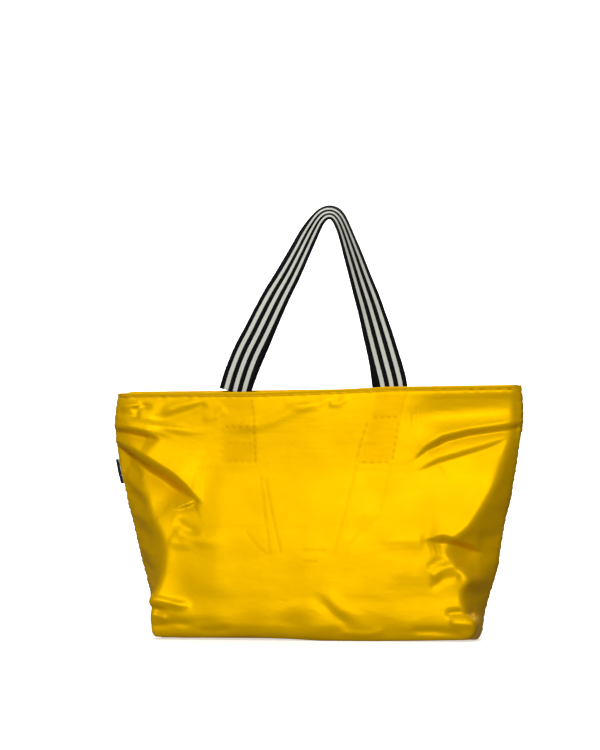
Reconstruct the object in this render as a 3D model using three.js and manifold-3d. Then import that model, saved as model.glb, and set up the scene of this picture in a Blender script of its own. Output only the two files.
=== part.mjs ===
// Foldable tote bag with webbing handles, a zipped rim and an inner stow pouch.
// Millimetres, +Z up. X runs along the rim, the front panel faces -Y, and Z = 0 is the floor.
import * as THREE from 'three';
import { mergeVertices } from 'three/addons/utils/BufferGeometryUtils.js';
import Module from 'manifold-3d';

const wasm = await Module();
wasm.setup();

// Driving dimensions of the fabric body.
const RIM_Z = 296;
const WALL = 1.2;
const SEAM_GAP = 0.15; // from the mid-side seam plane to each panel's edge
const GAP = 0.3; // air between neighbouring pieces
const RING_POINTS = 48;
// The body's outline at each height: half width along X, half depth along Y, and squareness.
const BODY_RINGS = [
  { z: 0, halfWidth: 193, halfDepth: 63, square: 8 },
  { z: 3, halfWidth: 198, halfDepth: 67, square: 8 },
  { z: 10, halfWidth: 201, halfDepth: 69, square: 8 },
  { z: 40, halfWidth: 203, halfDepth: 66, square: 6 },
  { z: 85, halfWidth: 208, halfDepth: 58, square: 4 },
  { z: 130, halfWidth: 220, halfDepth: 49, square: 3.4 },
  { z: 178, halfWidth: 236, halfDepth: 38, square: 3.2 },
  { z: 222, halfWidth: 246, halfDepth: 27, square: 3.2 },
  { z: 258, halfWidth: 249, halfDepth: 18, square: 3.5 },
  { z: 281, halfWidth: 247.5, halfDepth: 13, square: 3.8 },
  { z: RIM_Z, halfWidth: 245, halfDepth: 11, square: 4 },
];

// Sewn layers inside each panel, measured inwards from its outer face.
const HEM = { depth: 20, thickness: 1, offset: WALL + GAP, halfLength: 236 };
const STRAP = { width: 38, thickness: 1.6, offset: HEM.offset + HEM.thickness + GAP };
const POUCH = {
  offset: STRAP.offset + STRAP.thickness + GAP,
  thickness: 0.8,
  halfWidth: 88,
  topZ: 284,
  taperZ: 188,
  bottomZ: 92,
  bottomRadius: 34,
  binding: 5,
};
const SHEET_STEP = 16; // longest edge of a sewn layer's mesh

// Handles: the middle line of the front loop, as [x, z], from the left leg to the right leg.
const HANDLE_LINE = [
  [-107, 284], [-98, 314], [-78, 354], [-60, 392], [-42, 427], [-23, 463], [-9, 489], [2, 504],
  [12, 511], [22, 503], [32, 485], [42, 460], [52, 428], [65, 390], [77, 348], [90, 300], [93, 284],
];
const HANDLE = {
  lowZ: RIM_Z + 0.5,
  apexZ: 511,
  steps: 44,
  apexTilt: THREE.MathUtils.degToRad(58),
  tiltFromZ: 372,
  tiltToZ: 500,
  backInset: 5,
  backRise: 3,
};
// Strap tails sewn inside each panel: the strip's middle at the rim and at its lower end.
const TAIL_TOP_Z = RIM_Z;
const TAIL_BOTTOM_Z = 200;
const TAILS = [
  { name: 'left', topX: -103, bottomX: -94 },
  { name: 'right', topX: 88, bottomX: 64 },
];
const STITCH = { width: 1.2, thickness: 0.4, rowZs: [212, 234, 256], inset: 3 };

// Zip between the two rims.
const ZIP = {
  tapeZ: 288.2,
  tapeThickness: 1,
  tapeInnerY: 1.9,
  tapeOuterY: 5.2,
  leftX: -231,
  rightX: 226,
  coilLeftX: -221,
  coilRightX: 216,
  coilHeight: 2.2,
};
const SLIDER = { leftX: -226, length: 11, halfWidth: 4.6, plate: 1.2, gap: 3.4, post: 2.4 };
const PULL = { length: 24, halfWidth: 3, thickness: 1, pin: 0.6 };
const LABEL = { lowZ: 186, highZ: 216, reach: 5.5, thickness: 1.2 };
const SEAM_BINDING = { reach: 8, thickness: 1.6 };

const material = (color, roughness, metalness = 0) =>
  new THREE.MeshStandardMaterial({ color, roughness, metalness });
const NYLON = material('#f2b400', 0.45);
const BINDING = material('#d99f00', 0.6);
const THREAD = material('#c48f00', 0.7);
const WEBBING = material('#1b1d20', 0.75);
const TAPE = material('#e0a800', 0.65);
const COIL = material('#e8b100', 0.4);
const METAL = material('#8d8f92', 0.3, 0.9);
const LABEL_CLOTH = material('#15171f', 0.7);

const group = new THREE.Group();
group.name = 'foldable_tote_bag';

function add(name, geometry, look) {
  const mesh = new THREE.Mesh(geometry, look);
  mesh.name = name;
  group.add(mesh);
}

// --- Solids -------------------------------------------------------------------------------------

function toManifold(geometry) {
  const bare = geometry.clone();
  bare.deleteAttribute('normal');
  bare.deleteAttribute('uv');
  const welded = mergeVertices(bare, 1e-5);
  return new wasm.Manifold(new wasm.Mesh({
    numProp: 3,
    vertProperties: new Float32Array(welded.attributes.position.array),
    triVerts: new Uint32Array(welded.index.array),
  }));
}

function toGeometry(solid) {
  const mesh = solid.getMesh();
  const geometry = new THREE.BufferGeometry();
  const positions = [];
  for (let i = 0; i < mesh.vertProperties.length; i += mesh.numProp) {
    positions.push(...mesh.vertProperties.slice(i, i + 3));
  }
  geometry.setAttribute('position', new THREE.Float32BufferAttribute(positions, 3));
  geometry.setIndex([...mesh.triVerts]);
  geometry.computeVertexNormals();
  return geometry;
}

// A closed solid through rings of the same number of points, with a fan on each end.
function loft(rings) {
  const count = rings[0].length;
  const positions = rings.flat().flatMap((p) => [p.x, p.y, p.z]);
  const index = [];
  for (let r = 0; r < rings.length - 1; r += 1) {
    for (let i = 0; i < count; i += 1) {
      const a = r * count + i;
      const b = r * count + ((i + 1) % count);
      index.push(a, b, b + count, a, b + count, a + count);
    }
  }
  const last = (rings.length - 1) * count;
  for (let i = 1; i < count - 1; i += 1) {
    index.push(0, i + 1, i);
    index.push(last, last + i, last + i + 1);
  }
  const geometry = new THREE.BufferGeometry();
  geometry.setAttribute('position', new THREE.Float32BufferAttribute(positions, 3));
  geometry.setIndex(index);
  geometry.computeVertexNormals();
  return geometry;
}

function box(low, high) {
  const size = high.map((v, i) => v - low[i]);
  return wasm.Manifold.cube(size).translate(low);
}

// --- The body's shape ---------------------------------------------------------------------------

// Width, depth and squareness at one height, between the two nearest rings.
function ringAt(z) {
  const above = Math.max(1, BODY_RINGS.findIndex((ring) => ring.z >= z));
  const [low, high] = [BODY_RINGS[above - 1], BODY_RINGS[above]];
  const t = THREE.MathUtils.clamp((z - low.z) / (high.z - low.z), 0, 1);
  const mix = (key) => THREE.MathUtils.lerp(low[key], high[key], t);
  return { halfWidth: mix('halfWidth'), halfDepth: mix('halfDepth'), square: mix('square') };
}

// The outer face's distance from the mid plane at a place on a panel.
function panelDepth(x, z) {
  const { halfWidth, halfDepth, square } = ringAt(z);
  const across = Math.min(1, Math.abs(x) / halfWidth);
  return halfDepth * (1 - across ** square) ** (1 / square);
}

function bodyRing(ring, inset, z) {
  const points = [];
  for (let i = 0; i < RING_POINTS; i += 1) {
    const angle = ((i + 0.5) / RING_POINTS) * 2 * Math.PI;
    const [c, s] = [Math.cos(angle), Math.sin(angle)];
    const reach = (Math.abs(c) ** ring.square + Math.abs(s) ** ring.square) ** (1 / ring.square);
    const [x, y] = [(ring.halfWidth - inset) * c, (ring.halfDepth - inset) * s];
    points.push(new THREE.Vector3(x / reach, y / reach, z));
  }
  return points;
}

// Front and back panels, each with half of the sides and half of the bottom.
function buildPanels() {
  const outer = toManifold(loft(BODY_RINGS.map((ring) => bodyRing(ring, 0, ring.z))));
  const innerRings = BODY_RINGS.map((ring) => bodyRing(ring, WALL, ring.z));
  innerRings[0] = bodyRing(BODY_RINGS[0], WALL, WALL);
  innerRings.push(bodyRing(BODY_RINGS.at(-1), WALL, RIM_Z + WALL));
  const shell = outer.subtract(toManifold(loft(innerRings)));
  const frontSide = shell.trimByPlane([0, -1, 0], SEAM_GAP);
  const backSide = shell.trimByPlane([0, 1, 0], SEAM_GAP);
  add('front_panel', toGeometry(frontSide), NYLON);
  add('back_panel', toGeometry(backSide), NYLON);
}

// --- Layers sewn to a panel ---------------------------------------------------------------------

// A flat outline in X and Z, thickened and laid along a panel; side is -1 at the front, 1 at the back.
function panelLayer(outline, offset, thickness, side) {
  const flat = new wasm.CrossSection([outline], 'NonZero').extrude(thickness);
  return flat.refineToLength(SHEET_STEP).warp((v) => {
    const [x, z, inwards] = v;
    v[0] = x;
    v[1] = side * (panelDepth(x, z) - offset - inwards);
    v[2] = z;
  });
}

// Warping the front side's layers turns them inside out, so both sides come from one outward solid.
function layerGeometry(solid) {
  const geometry = toGeometry(solid);
  if (solid.volume() < 0) {
    const index = geometry.index.array;
    for (let i = 0; i < index.length; i += 3) {
      [index[i + 1], index[i + 2]] = [index[i + 2], index[i + 1]];
    }
    geometry.computeVertexNormals();
  }
  return geometry;
}

function strip(topX, bottomX, topZ, bottomZ, width) {
  const half = width / 2;
  return [[bottomX - half, bottomZ], [bottomX + half, bottomZ], [topX + half, topZ], [topX - half, topZ]];
}

function rectangle(lowX, highX, lowZ, highZ) {
  return [[lowX, lowZ], [highX, lowZ], [highX, highZ], [lowX, highZ]];
}

function buildHem(name, side) {
  const outline = rectangle(-HEM.halfLength, HEM.halfLength, RIM_Z - HEM.depth, RIM_Z - GAP);
  add(name, layerGeometry(panelLayer(outline, HEM.offset, HEM.thickness, side)), BINDING);
}

function buildTail(name, tail, side) {
  const outline = strip(tail.topX, tail.bottomX, TAIL_TOP_Z, TAIL_BOTTOM_Z, STRAP.width);
  add(name, layerGeometry(panelLayer(outline, STRAP.offset, STRAP.thickness, side)), WEBBING);
}

// Rows of stitches and two side runs, standing on the panel's outer face over a tail.
function buildStitching(name, tail, side) {
  const middleAt = (z) => {
    const t = (TAIL_TOP_Z - z) / (TAIL_TOP_Z - TAIL_BOTTOM_Z);
    return THREE.MathUtils.lerp(tail.topX, tail.bottomX, t);
  };
  const reach = STRAP.width / 2 - STITCH.inset;
  const half = STITCH.width / 2;
  const rows = STITCH.rowZs.map((z) => {
    const middle = middleAt(z);
    return rectangle(middle - reach, middle + reach, z - half, z + half);
  });
  const [lowZ, highZ] = [STITCH.rowZs[0], STITCH.rowZs.at(-1)];
  const sides = [-1, 1].map((way) => {
    const [topX, bottomX] = [middleAt(highZ) + way * reach, middleAt(lowZ) + way * reach];
    return strip(topX, bottomX, highZ + half, lowZ - half, STITCH.width);
  });
  const ladder = new wasm.CrossSection([...rows, ...sides], 'NonZero');
  const flat = ladder.extrude(STITCH.thickness).refineToLength(SHEET_STEP / 2);
  const solid = flat.warp((v) => {
    const [x, z, outwards] = v;
    v[0] = x;
    v[1] = side * (panelDepth(x, z) + GAP / 2 + outwards);
    v[2] = z;
  });
  add(name, layerGeometry(solid), THREAD);
}

// The pouch's outline: straight top, tapering sides and a round bottom.
function pouchOutline(inset) {
  const side = POUCH.halfWidth - inset;
  const radius = POUCH.bottomRadius - inset;
  const centreZ = POUCH.bottomZ + POUCH.bottomRadius;
  const flat = 20;
  const points = [[-side, POUCH.topZ], [-side, POUCH.taperZ]];
  for (let i = 0; i <= 6; i += 1) {
    const angle = Math.PI + (i / 6) * (Math.PI / 2);
    points.push([-flat + radius * Math.cos(angle), centreZ + radius * Math.sin(angle)]);
  }
  for (let i = 0; i <= 6; i += 1) {
    const angle = Math.PI * 1.5 + (i / 6) * (Math.PI / 2);
    points.push([flat + radius * Math.cos(angle), centreZ + radius * Math.sin(angle)]);
  }
  points.push([side, POUCH.taperZ], [side, POUCH.topZ]);
  return points;
}

function buildPouch() {
  const inner = pouchOutline(POUCH.binding + GAP);
  const hemZ = POUCH.topZ - 14;
  const body = inner.map(([x, z]) => [x, Math.min(z, hemZ - GAP)]);
  add('stow_pouch', layerGeometry(panelLayer(body, POUCH.offset, POUCH.thickness, -1)), NYLON);
  const halfHem = POUCH.halfWidth - POUCH.binding - GAP;
  const hem = rectangle(-halfHem, halfHem, hemZ, POUCH.topZ);
  add('stow_pouch_hem', layerGeometry(panelLayer(hem, POUCH.offset, POUCH.thickness, -1)), BINDING);
  const outside = new wasm.CrossSection([pouchOutline(0)], 'NonZero');
  const raised = pouchOutline(POUCH.binding).map(([x, z]) => [x, z === POUCH.topZ ? z + 1 : z]);
  const rim = outside.subtract(new wasm.CrossSection([raised], 'NonZero'));
  const flat = rim.extrude(POUCH.thickness).refineToLength(SHEET_STEP);
  const solid = flat.warp((v) => {
    const [x, z, inwards] = v;
    v[0] = x;
    v[1] = -(panelDepth(x, z) - POUCH.offset - inwards);
    v[2] = z;
  });
  add('stow_pouch_binding', layerGeometry(solid), BINDING);
}

// --- Seams --------------------------------------------------------------------------------------

// Bound seam allowance inside one side, from the floor to the rim.
function buildSideSeam(name, way) {
  const clear = WALL + GAP + 0.7;
  const zs = [6, ...BODY_RINGS.map((ring) => ring.z).filter((z) => z > 10 && z < 281), 281];
  const rings = zs.map((z) => {
    const outer = way * (ringAt(z).halfWidth - clear);
    const inner = outer - way * SEAM_BINDING.reach;
    const half = SEAM_BINDING.thickness / 2;
    const corners = [[inner, -half], [outer, -half], [outer, half], [inner, half]];
    const ordered = way > 0 ? corners : corners.reverse();
    return ordered.map(([x, y]) => new THREE.Vector3(x, y, z));
  });
  add(name, loft(rings), BINDING);
}

// Seam allowance along the foot of one boxed end.
function buildCornerSeam(name, way) {
  const outer = way * 187;
  const inner = outer - way * SEAM_BINDING.reach;
  const low = WALL + GAP;
  const high = low + SEAM_BINDING.thickness;
  const strap = box([Math.min(outer, inner), -44, low], [Math.max(outer, inner), 44, high]);
  add(name, toGeometry(strap), BINDING);
}

function buildBottomSeam() {
  const low = WALL + GAP;
  const strap = box([-179, -4, low], [179, 4, low + SEAM_BINDING.thickness]);
  add('bottom_seam_binding', toGeometry(strap), BINDING);
}

// --- Handles ------------------------------------------------------------------------------------

// The middle line of one handle; the back one stands a little inside the front one and higher.
function handleCurve(side) {
  const inset = side > 0 ? HANDLE.backInset : 0;
  const rise = side > 0 ? HANDLE.backRise : 0;
  const middleX = (HANDLE_LINE[0][0] + HANDLE_LINE.at(-1)[0]) / 2;
  const legY = panelDepth(TAILS[0].topX, RIM_Z) - STRAP.offset - STRAP.thickness / 2;
  return new THREE.CatmullRomCurve3(HANDLE_LINE.map(([x, z]) => {
    const share = (z - RIM_Z) / (HANDLE.apexZ - RIM_Z);
    const shift = Math.sign(x - middleX) * inset * (1 - share);
    return new THREE.Vector3(x - shift, side * legY, z + rise * share);
  }));
}

// A strap that stands flat to the front at its legs and tilts about its own length at the top.
function buildHandle(name, side) {
  const curve = handleCurve(side);
  const rings = [];
  for (let i = 0; i <= HANDLE.steps; i += 1) {
    const at = curve.getPointAt(i / HANDLE.steps);
    const tangent = curve.getTangentAt(i / HANDLE.steps);
    const lift = THREE.MathUtils.smoothstep(at.z, HANDLE.tiltFromZ, HANDLE.tiltToZ);
    const tilt = HANDLE.apexTilt * lift;
    const outwards = new THREE.Vector3(-tangent.z, 0, tangent.x).multiplyScalar(Math.cos(tilt));
    const across = outwards.add(new THREE.Vector3(0, Math.sin(tilt), 0)).normalize();
    const through = new THREE.Vector3().crossVectors(tangent, across).normalize();
    const halfAcross = across.multiplyScalar(STRAP.width / 2);
    const halfThrough = through.multiplyScalar(STRAP.thickness / 2);
    const corner = (w, t) =>
      at.clone().addScaledVector(halfAcross, w).addScaledVector(halfThrough, t);
    rings.push([corner(-1, -1), corner(1, -1), corner(1, 1), corner(-1, 1)]);
  }
  const aboveRim = toManifold(loft(rings)).trimByPlane([0, 0, 1], HANDLE.lowZ);
  add(name, toGeometry(aboveRim), WEBBING);
}

// --- Zip ----------------------------------------------------------------------------------------

function ySides(side, near, far) {
  return side < 0 ? [-far, -near] : [near, far];
}

function buildZipHalf(name, side) {
  const [lowY, highY] = ySides(side, ZIP.tapeInnerY, ZIP.tapeOuterY);
  const tape = box([ZIP.leftX, lowY, ZIP.tapeZ], [ZIP.rightX, highY, ZIP.tapeZ + ZIP.tapeThickness]);
  add(`zip_${name}_tape`, toGeometry(tape), TAPE);
  const [nearY, farY] = ySides(side, SEAM_GAP, ZIP.tapeInnerY - 0.2);
  const coilZ = ZIP.tapeZ + ZIP.tapeThickness / 2 - ZIP.coilHeight / 2;
  const coil = box([ZIP.coilLeftX, nearY, coilZ], [ZIP.coilRightX, farY, coilZ + ZIP.coilHeight]);
  add(`zip_${name}_coil`, toGeometry(coil), COIL);
}

function buildZipStops() {
  const stopZ = ZIP.tapeZ + ZIP.tapeThickness + GAP;
  const tops = [-1, 1].map((side) => {
    const [lowY, highY] = ySides(side, 2.1, 3.6);
    return box([ZIP.leftX + 2, lowY, stopZ], [ZIP.leftX + 4.2, highY, stopZ + 1.2]);
  });
  add('zip_front_top_stop', toGeometry(tops[0]), METAL);
  add('zip_back_top_stop', toGeometry(tops[1]), METAL);
  const bottom = box([ZIP.coilRightX + 1, -1.7, ZIP.tapeZ - 1], [ZIP.coilRightX + 4, 1.7, stopZ + 1]);
  add('zip_bottom_stop', toGeometry(bottom), METAL);
}

function buildZipEnds() {
  const [lowZ, highZ] = [ZIP.tapeZ - 0.6, ZIP.tapeZ + ZIP.tapeThickness + 0.6];
  const left = box([ZIP.leftX - 7.5, -3.6, lowZ], [ZIP.leftX - GAP, 3.6, highZ]);
  const right = box([ZIP.rightX + GAP, -3.6, lowZ], [ZIP.rightX + 8, 3.6, highZ]);
  add('zip_left_end_tab', toGeometry(left), NYLON);
  add('zip_right_end_tab', toGeometry(right), NYLON);
}

const SLIDER_MID_Z = ZIP.tapeZ + ZIP.tapeThickness / 2;
const SLIDER_TOP_Z = SLIDER_MID_Z + SLIDER.gap / 2 + SLIDER.plate;
const PULL_AXIS = { x: SLIDER.leftX + 5.5, z: SLIDER_TOP_Z + 1.4 };

// Two plates joined by a post at the leading end, with an arch on top for the pull.
function buildSlider() {
  const [left, right] = [SLIDER.leftX, SLIDER.leftX + SLIDER.length];
  const plateAt = (z) => box([left, -SLIDER.halfWidth, z], [right, SLIDER.halfWidth, z + SLIDER.plate]);
  const lower = plateAt(SLIDER_MID_Z - SLIDER.gap / 2 - SLIDER.plate);
  const upper = plateAt(SLIDER_MID_Z + SLIDER.gap / 2);
  const post = box([left + 0.6, -1.2, SLIDER_MID_Z - SLIDER.gap / 2 - 0.5],
    [left + 0.6 + SLIDER.post, 1.2, SLIDER_MID_Z + SLIDER.gap / 2 + 0.5]);
  const archBlock = box([PULL_AXIS.x - 4, -0.7, SLIDER_TOP_Z - 0.5],
    [PULL_AXIS.x + 4, 0.7, SLIDER_TOP_Z + 3.6]);
  const archHole = box([PULL_AXIS.x - 2.6, -1, SLIDER_TOP_Z + 0.4],
    [PULL_AXIS.x + 2.6, 1, SLIDER_TOP_Z + 2.5]);
  const solid = lower.add(upper).add(post).add(archBlock.subtract(archHole));
  add('zip_slider', toGeometry(solid), METAL);
}

// A flat tab with two arms, joined by a pin that passes through the slider's arch.
function buildPull() {
  const half = PULL.thickness / 2;
  const tab = box([PULL_AXIS.x + 7, -PULL.halfWidth, PULL_AXIS.z - half],
    [PULL_AXIS.x + PULL.length, PULL.halfWidth, PULL_AXIS.z + half]);
  const arms = [-1, 1].map((side) => {
    const [lowY, highY] = ySides(side, 1.6, PULL.halfWidth);
    return box([PULL_AXIS.x - 1, lowY, PULL_AXIS.z - half], [PULL_AXIS.x + 8, highY, PULL_AXIS.z + half]);
  });
  const pin = wasm.Manifold.cylinder(2 * PULL.halfWidth - 1, PULL.pin, PULL.pin, 12, true)
    .rotate([90, 0, 0]).translate([PULL_AXIS.x, 0, PULL_AXIS.z]);
  add('zip_pull', toGeometry(tab.add(arms[0]).add(arms[1]).add(pin)), METAL);
}

// --- Label --------------------------------------------------------------------------------------

function buildLabel() {
  const outline = [LABEL.lowZ, (LABEL.lowZ + LABEL.highZ) / 2, LABEL.highZ];
  const rings = outline.map((z) => {
    const inner = -(ringAt(z).halfWidth + GAP);
    const outer = inner - LABEL.reach;
    const half = LABEL.thickness / 2;
    return [[outer, -half], [inner, -half], [inner, half], [outer, half]]
      .map(([x, y]) => new THREE.Vector3(x, y, z));
  });
  add('side_label', loft(rings), LABEL_CLOTH);
}

buildPanels();
for (const [name, side] of [['front', -1], ['back', 1]]) {
  buildHem(`${name}_rim_hem`, side);
  buildZipHalf(name, side);
  buildHandle(`${name}_handle`, side);
  for (const tail of TAILS) {
    buildTail(`${name}_${tail.name}_strap_tail`, tail, side);
    buildStitching(`${name}_${tail.name}_strap_stitching`, tail, side);
  }
}
for (const [name, way] of [['left', -1], ['right', 1]]) {
  buildSideSeam(`${name}_side_seam_binding`, way);
  buildCornerSeam(`${name}_corner_seam_binding`, way);
}
buildBottomSeam();
buildPouch();
buildZipStops();
buildZipEnds();
buildSlider();
buildPull();
buildLabel();

export default group;
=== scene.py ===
"""Foldable tote bag: satin nylon shell, striped webbing handles, zip, stow pouch and side label."""

import math

import bmesh
import bpy
import numpy as np
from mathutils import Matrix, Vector
from mathutils.bvhtree import BVHTree


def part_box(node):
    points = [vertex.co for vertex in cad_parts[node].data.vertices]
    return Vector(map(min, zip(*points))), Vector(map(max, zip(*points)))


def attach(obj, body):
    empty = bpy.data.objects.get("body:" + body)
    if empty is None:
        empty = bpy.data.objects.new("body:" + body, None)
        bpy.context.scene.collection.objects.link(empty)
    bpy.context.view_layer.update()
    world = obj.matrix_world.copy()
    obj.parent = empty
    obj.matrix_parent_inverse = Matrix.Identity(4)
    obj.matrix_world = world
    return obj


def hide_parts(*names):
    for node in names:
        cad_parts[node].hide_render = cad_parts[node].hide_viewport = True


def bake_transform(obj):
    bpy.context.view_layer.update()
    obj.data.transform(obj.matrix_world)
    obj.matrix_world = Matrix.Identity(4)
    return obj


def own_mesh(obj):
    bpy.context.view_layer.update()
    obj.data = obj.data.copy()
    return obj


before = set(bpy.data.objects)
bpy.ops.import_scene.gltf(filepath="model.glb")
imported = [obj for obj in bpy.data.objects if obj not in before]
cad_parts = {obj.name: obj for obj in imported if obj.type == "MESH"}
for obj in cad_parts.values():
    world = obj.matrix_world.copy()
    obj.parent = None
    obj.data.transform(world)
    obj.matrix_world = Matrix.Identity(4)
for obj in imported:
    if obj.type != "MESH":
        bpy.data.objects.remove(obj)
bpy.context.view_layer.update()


# --- Sizes, in metres, from the frame ---

RIM_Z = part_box("front_panel")[1].z
HEM_DEPTH = 0.020
STRAP_WIDTH = 0.038
STRAP_THICK = 0.0016
RIGHT, BACK, UP = np.eye(3)

# The shell's grid: columns across half of a face, along one half side, and rows down the height.
FACE_COLUMNS = 112
SIDE_COLUMNS = 19
ROWS = 84
HALF_LOOP = FACE_COLUMNS + 2 * SIDE_COLUMNS


# --- The shell's outline at each height ---
# Each row: height; left and right half width at the side seams; left and right crease, where the face
# turns into the side; depth of the face at the left crease, the middle and the right crease.

OUTLINE = np.array([
    [0, 188.5, 193, 184, 189, 64, 66.5, 64],
    [4, 192, 196.5, 187, 194, 65.5, 69, 65],
    [10, 193.5, 198.5, 189, 197, 66, 70, 65],
    [22, 195, 200.5, 190, 198, 66, 70.2, 65],
    [33, 197, 202, 190, 188, 66, 70, 64.5],
    [46, 199.5, 205.5, 189, 182, 65.2, 69.2, 63.8],
    [59, 202.5, 209.5, 184, 181, 64, 68, 62.6],
    [71, 206, 213.5, 179, 189, 62.5, 66.5, 61.2],
    [88, 212, 218, 175, 178, 60, 63.8, 58.6],
    [104, 216, 220.5, 174, 164, 57, 60.5, 55.6],
    [118, 220, 223, 177, 168, 53.8, 57, 52.4],
    [130, 223, 225, 183, 184, 50.2, 53.4, 49],
    [145, 227, 228, 192, 196, 45.4, 48.5, 44.2],
    [160, 232, 232.5, 199, 206, 40.2, 43.2, 39],
    [178, 236, 236, 206, 217, 34, 36.8, 32.8],
    [200, 242, 240.5, 214, 225, 26.8, 29.8, 25.8],
    [220, 246, 244, 222, 231, 22.6, 25.6, 21.8],
    [245, 249, 248, 229, 237, 17.8, 20.8, 17.2],
    [270, 249, 249, 232, 238, 13.4, 16.2, 13],
    [288, 247, 248, 234, 237, 10.6, 12.2, 10.4],
    [300, 245, 247, 234, 236, 9.6, 10.4, 9.5],
]) / 1000
BACK_SHARE = 0.97  # the back's creases and depth, as a share of the front's mean
FLAT_PART = 0.11  # half width of the middle of the face, which bows only a little

# How far the rim stands above its mean height, and the foot off the floor, along x.
RIM_LIFT = np.array([[-250, -0.5], [-150, -0.5], [-60, -1], [20, 1], [90, 3.5], [250, 4.5]]) / 1000
BACK_RIM_LIFT = np.array([[-250, -0.5], [-238, -0.3], [-232, 2.4], [-120, 2.4], [0, 2.6], [250, 4]]) / 1000
FOOT_LIFT = np.array([[-200, 3], [-130, 2.6], [-70, 4], [-20, 1.8], [20, 0], [80, 0], [150, 1.2], [200, 3]])
FOOT_LIFT /= 1000


def outline_at(z):
    """The outline's values at heights z, through the rows on a smooth curve."""
    heights = OUTLINE[:, 0]
    slopes = np.gradient(OUTLINE[:, 1:], heights, axis=0)
    i = np.clip(np.searchsorted(heights, z) - 1, 0, len(heights) - 2)
    step = (heights[i + 1] - heights[i])[:, None]
    t = ((z - heights[i])[:, None]) / step
    low, high = OUTLINE[i, 1:], OUTLINE[i + 1, 1:]
    return hermite(low, high, step * slopes[i], step * slopes[i + 1], t)


def hermite(low, high, slope_low, slope_high, t):
    """A smooth curve between two values, t of the way along."""
    ends = low * (1 + 2 * t) * (1 - t) ** 2 + high * t * t * (3 - 2 * t)
    return ends + slope_low * t * (1 - t) ** 2 - slope_high * t * t * (1 - t)


def unit(vectors):
    """Each row as a unit vector."""
    return vectors / np.linalg.norm(vectors, axis=1)[:, None]


def ways_along(line):
    """The direction of a line at each of its points."""
    return unit(np.gradient(np.asarray(line, float), axis=0))


def lengths_along(line):
    """How far along a line each of its points is."""
    return np.concatenate([[0], np.cumsum(np.linalg.norm(np.diff(line, axis=0), axis=1))])


def smoothed(points, passes):
    """A line's points, each averaged with its neighbours; the two ends stay."""
    for _ in range(passes):
        points[1:-1] = 0.25 * points[:-2] + 0.5 * points[1:-1] + 0.25 * points[2:]
    return points


def resampled(line, count):
    """count + 1 points, evenly spaced along a line."""
    along = lengths_along(line)
    at = np.linspace(0, along[-1], count + 1)
    return np.stack([np.interp(at, along, column) for column in line.T], axis=1)


def smooth_step(t):
    t = np.clip(t, 0, 1)
    return t * t * (3 - 2 * t)


def bell(distance, width):
    """1 at no distance, fading away beyond the width."""
    return np.exp(-((distance / width) ** 2))


def rim_lift(x, side):
    """How far the front (-1) or back (1) rim stands above its mean height at x."""
    return np.interp(x, *(RIM_LIFT if side < 0 else BACK_RIM_LIFT).T)


def half_section(values, soft, bulge):
    """From the left seam round the face to the right seam, evenly spaced along the cloth."""
    left, right, crease_left, crease_right, depth_left, depth_middle, depth_right = values
    corners = np.array([
        [-left, 0.0],
        [-left - bulge, -0.006],
        [-crease_left, -depth_left],
        [-FLAT_PART, -0.5 * (depth_left + depth_middle) - 0.001],
        [0.0, -depth_middle],
        [FLAT_PART, -0.5 * (depth_right + depth_middle) - 0.001],
        [crease_right, -depth_right],
        [right + bulge, -0.006],
        [right, 0.0],
    ])
    line = smoothed(resampled(corners, 400), soft)
    return resampled(line, HALF_LOOP)


def back_values(values):
    """The back is plainer than the front: the same on its left and right."""
    left, right, crease_left, crease_right, depth_left, depth_middle, depth_right = values
    crease = BACK_SHARE * 0.5 * (crease_left + crease_right)
    depth = BACK_SHARE * 0.5 * (depth_left + depth_right)
    return left, right, crease, crease, depth, depth_middle, depth


# --- Mesh helpers ---


def mesh_object(name, points, faces, uvs=None):
    """A smooth-shaded object; uvs holds one pair per point, in metres of cloth."""
    mesh = bpy.data.meshes.new(name)
    mesh.from_pydata(np.asarray(points, float).tolist(), [], [list(map(int, f)) for f in faces])
    mesh.polygons.foreach_set("use_smooth", np.ones(len(mesh.polygons), bool))
    if uvs is not None:
        layer = mesh.uv_layers.new(name="cloth")
        layer.data.foreach_set("uv", np.asarray(uvs, float)[corner_points(mesh)].ravel())
    mesh.validate()
    obj = bpy.data.objects.new(name, mesh)
    bpy.context.scene.collection.objects.link(obj)
    return obj


def values_of(items, name, width=3):
    """One row per vertex or corner, with what it holds under a name."""
    values = np.empty(width * len(items))
    items.foreach_get(name, values)
    return values.reshape(-1, width)


def corner_points(mesh):
    """The number of each corner's point."""
    return values_of(mesh.loops, "vertex_index", 1)[:, 0].astype(int)


def mesh_points(obj):
    return values_of(obj.data.vertices, "co")


def set_mesh_points(obj, points):
    obj.data.vertices.foreach_set("co", points.ravel())
    obj.data.update()


def apply_modifier(obj, kind, **values):
    """Adds a modifier, sets it up and applies it."""
    modifier = obj.modifiers.new(kind.lower(), kind)
    for key, value in values.items():
        setattr(modifier, key, value)
    with bpy.context.temp_override(object=obj, active_object=obj, selected_objects=[obj]):
        bpy.ops.object.modifier_apply(modifier=modifier.name)
    return obj


def quads(grid):
    """Quads of a grid of point indices, facing outwards."""
    a, b, c, d = grid[:-1, :-1], grid[1:, :-1], grid[1:, 1:], grid[:-1, 1:]
    return np.stack([a, b, c, d], axis=-1).reshape(-1, 4)


def turn(count):
    """Angles of one full turn."""
    return np.linspace(0, 2 * math.pi, count + 1)[:-1]


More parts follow.
